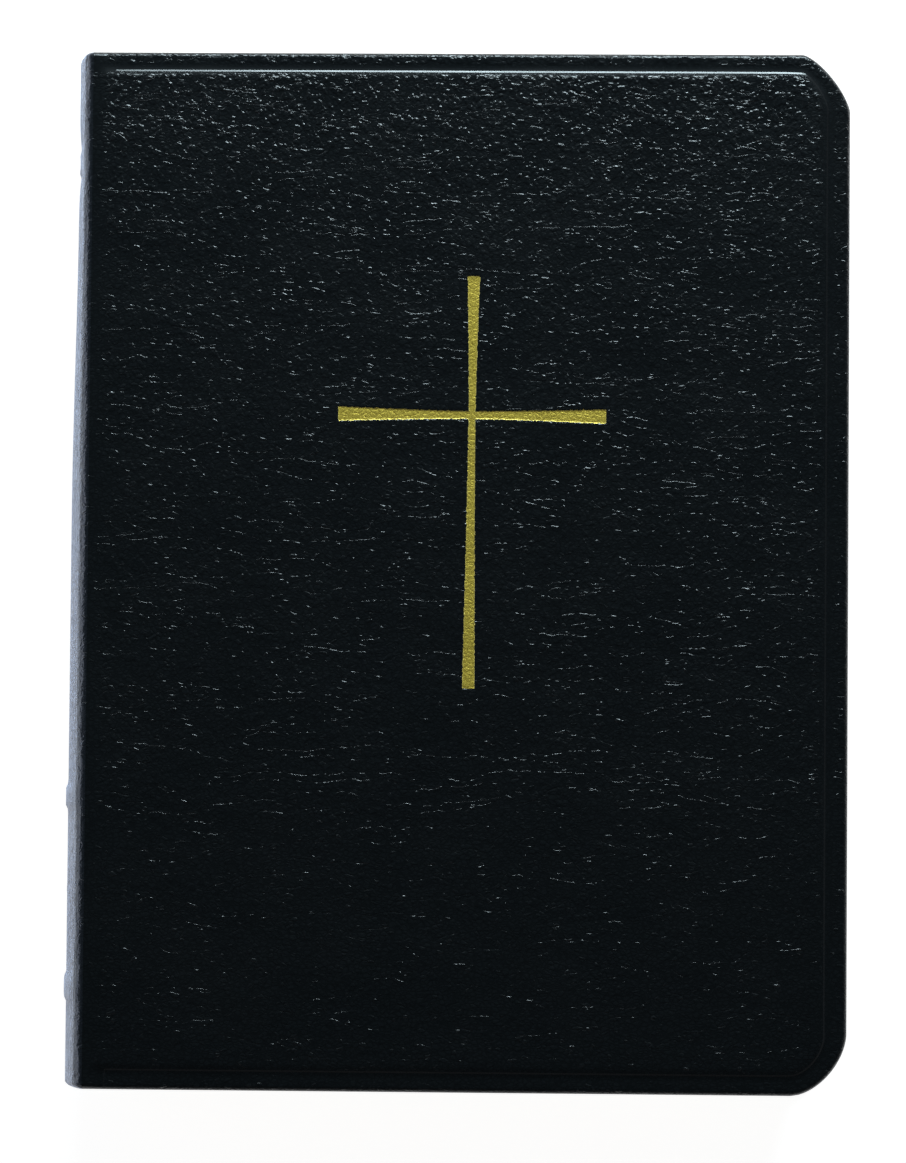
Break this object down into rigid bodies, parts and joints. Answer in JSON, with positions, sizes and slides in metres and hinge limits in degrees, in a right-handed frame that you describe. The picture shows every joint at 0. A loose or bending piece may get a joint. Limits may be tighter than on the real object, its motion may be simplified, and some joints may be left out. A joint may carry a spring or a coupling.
{
  "type": "prayer book",
  "caption": "Limp-bound prayer book lying closed: padded black leather covers with a gold cross, rounded spine with raised bands, and sewn pages that open and turn.",
  "frame": {"origin": "middle of the underside: the outer face of the back cover, on which the closed book lies", "axes": "+X from the spine to the fore edge, +Y from tail to head, +Z from the back cover to the front cover"},
  "size_m": [0.1136, 0.15, 0.0256],
  "materials": {
    "leather": "black pebble-grained leather, semi-gloss",
    "board": "grey card",
    "endpaper": "plain laid paper, matte",
    "pages": "thin cream paper with gilt edges",
    "liner": "brown kraft paper",
    "mull": "open-weave cotton",
    "headband": "silk in two colours",
    "ribbon_red": "satin ribbon",
    "ribbon_gold": "satin ribbon",
    "foil": "gold foil stamping"
  },
  "bodies": {
    "back_cover": {"back_leather": "leather", "back_board": "board", "back_pastedown": "endpaper", "back_flyleaf": "endpaper", "ribbon_marker_1": "ribbon_red", "ribbon_marker_2": "ribbon_gold", "signature_01": "pages", "signature_02": "pages", "signature_03": "pages", "signature_04": "pages", "signature_05": "pages", "signature_06": "pages", "signature_07": "pages", "signature_08": "pages", "signature_09": "pages", "signature_10": "pages", "signature_11": "pages", "signature_12": "pages", "signature_13": "pages", "signature_14": "pages", "signature_15": "pages", "signature_16": "pages"},
    "spine": {"spine_leather": "leather", "spine_liner": "liner", "spine_hollow": "liner", "mull": "mull", "raised_band_1": "board", "raised_band_2": "board", "raised_band_3": "board", "head_band": "headband", "tail_band": "headband", "spine_ornament": "foil"},
    "front_pages": {"signature_17": "pages", "signature_18": "pages", "signature_19": "pages", "signature_20": "pages", "signature_21": "pages", "signature_22": "pages", "signature_23": "pages", "signature_24": "pages", "signature_25": "pages", "signature_26": "pages", "signature_27": "pages", "signature_28": "pages", "signature_29": "pages", "signature_30": "pages", "signature_31": "pages", "signature_32": "pages"},
    "front_cover": {"front_leather": "leather", "front_board": "board", "front_pastedown": "endpaper", "cross_foil": "foil"},
    "front_flyleaf": {"front_flyleaf": "endpaper"}
  },
  "joints": [
    {"name": "spine_fold", "type": "hinge", "parent": "back_cover", "child": "spine", "pos_m": [-0.0528, 0, 0], "axis": [0, -1, 0], "range_deg": [0, 90], "deforming": ["spine_leather", "spine_liner", "spine_hollow", "mull", "raised_band_1", "raised_band_2", "raised_band_3", "head_band", "tail_band", "spine_ornament"]},
    {"name": "open_at_middle", "type": "hinge", "parent": "spine", "child": "front_pages", "pos_m": [-0.0528, 0, 0.0256], "axis": [0, -1, 0], "range_deg": [0, 90]},
    {"name": "front_cover_hinge", "type": "hinge", "parent": "front_pages", "child": "front_cover", "pos_m": [-0.0528, 0, 0.0256], "axis": [0, -1, 0], "range_deg": [0, 175]},
    {"name": "flyleaf_lift", "type": "hinge", "parent": "front_pages", "child": "front_flyleaf", "pos_m": [-0.0528, 0, 0.0233], "axis": [0, -1, 0], "range_deg": [0, 45]}
  ],
  "couplings": [
    {"joint": "spine_fold", "follows": "open_at_middle", "ratio": 1},
    {"joint": "flyleaf_lift", "follows": "front_cover_hinge", "ratio": 0.25}
  ]
}
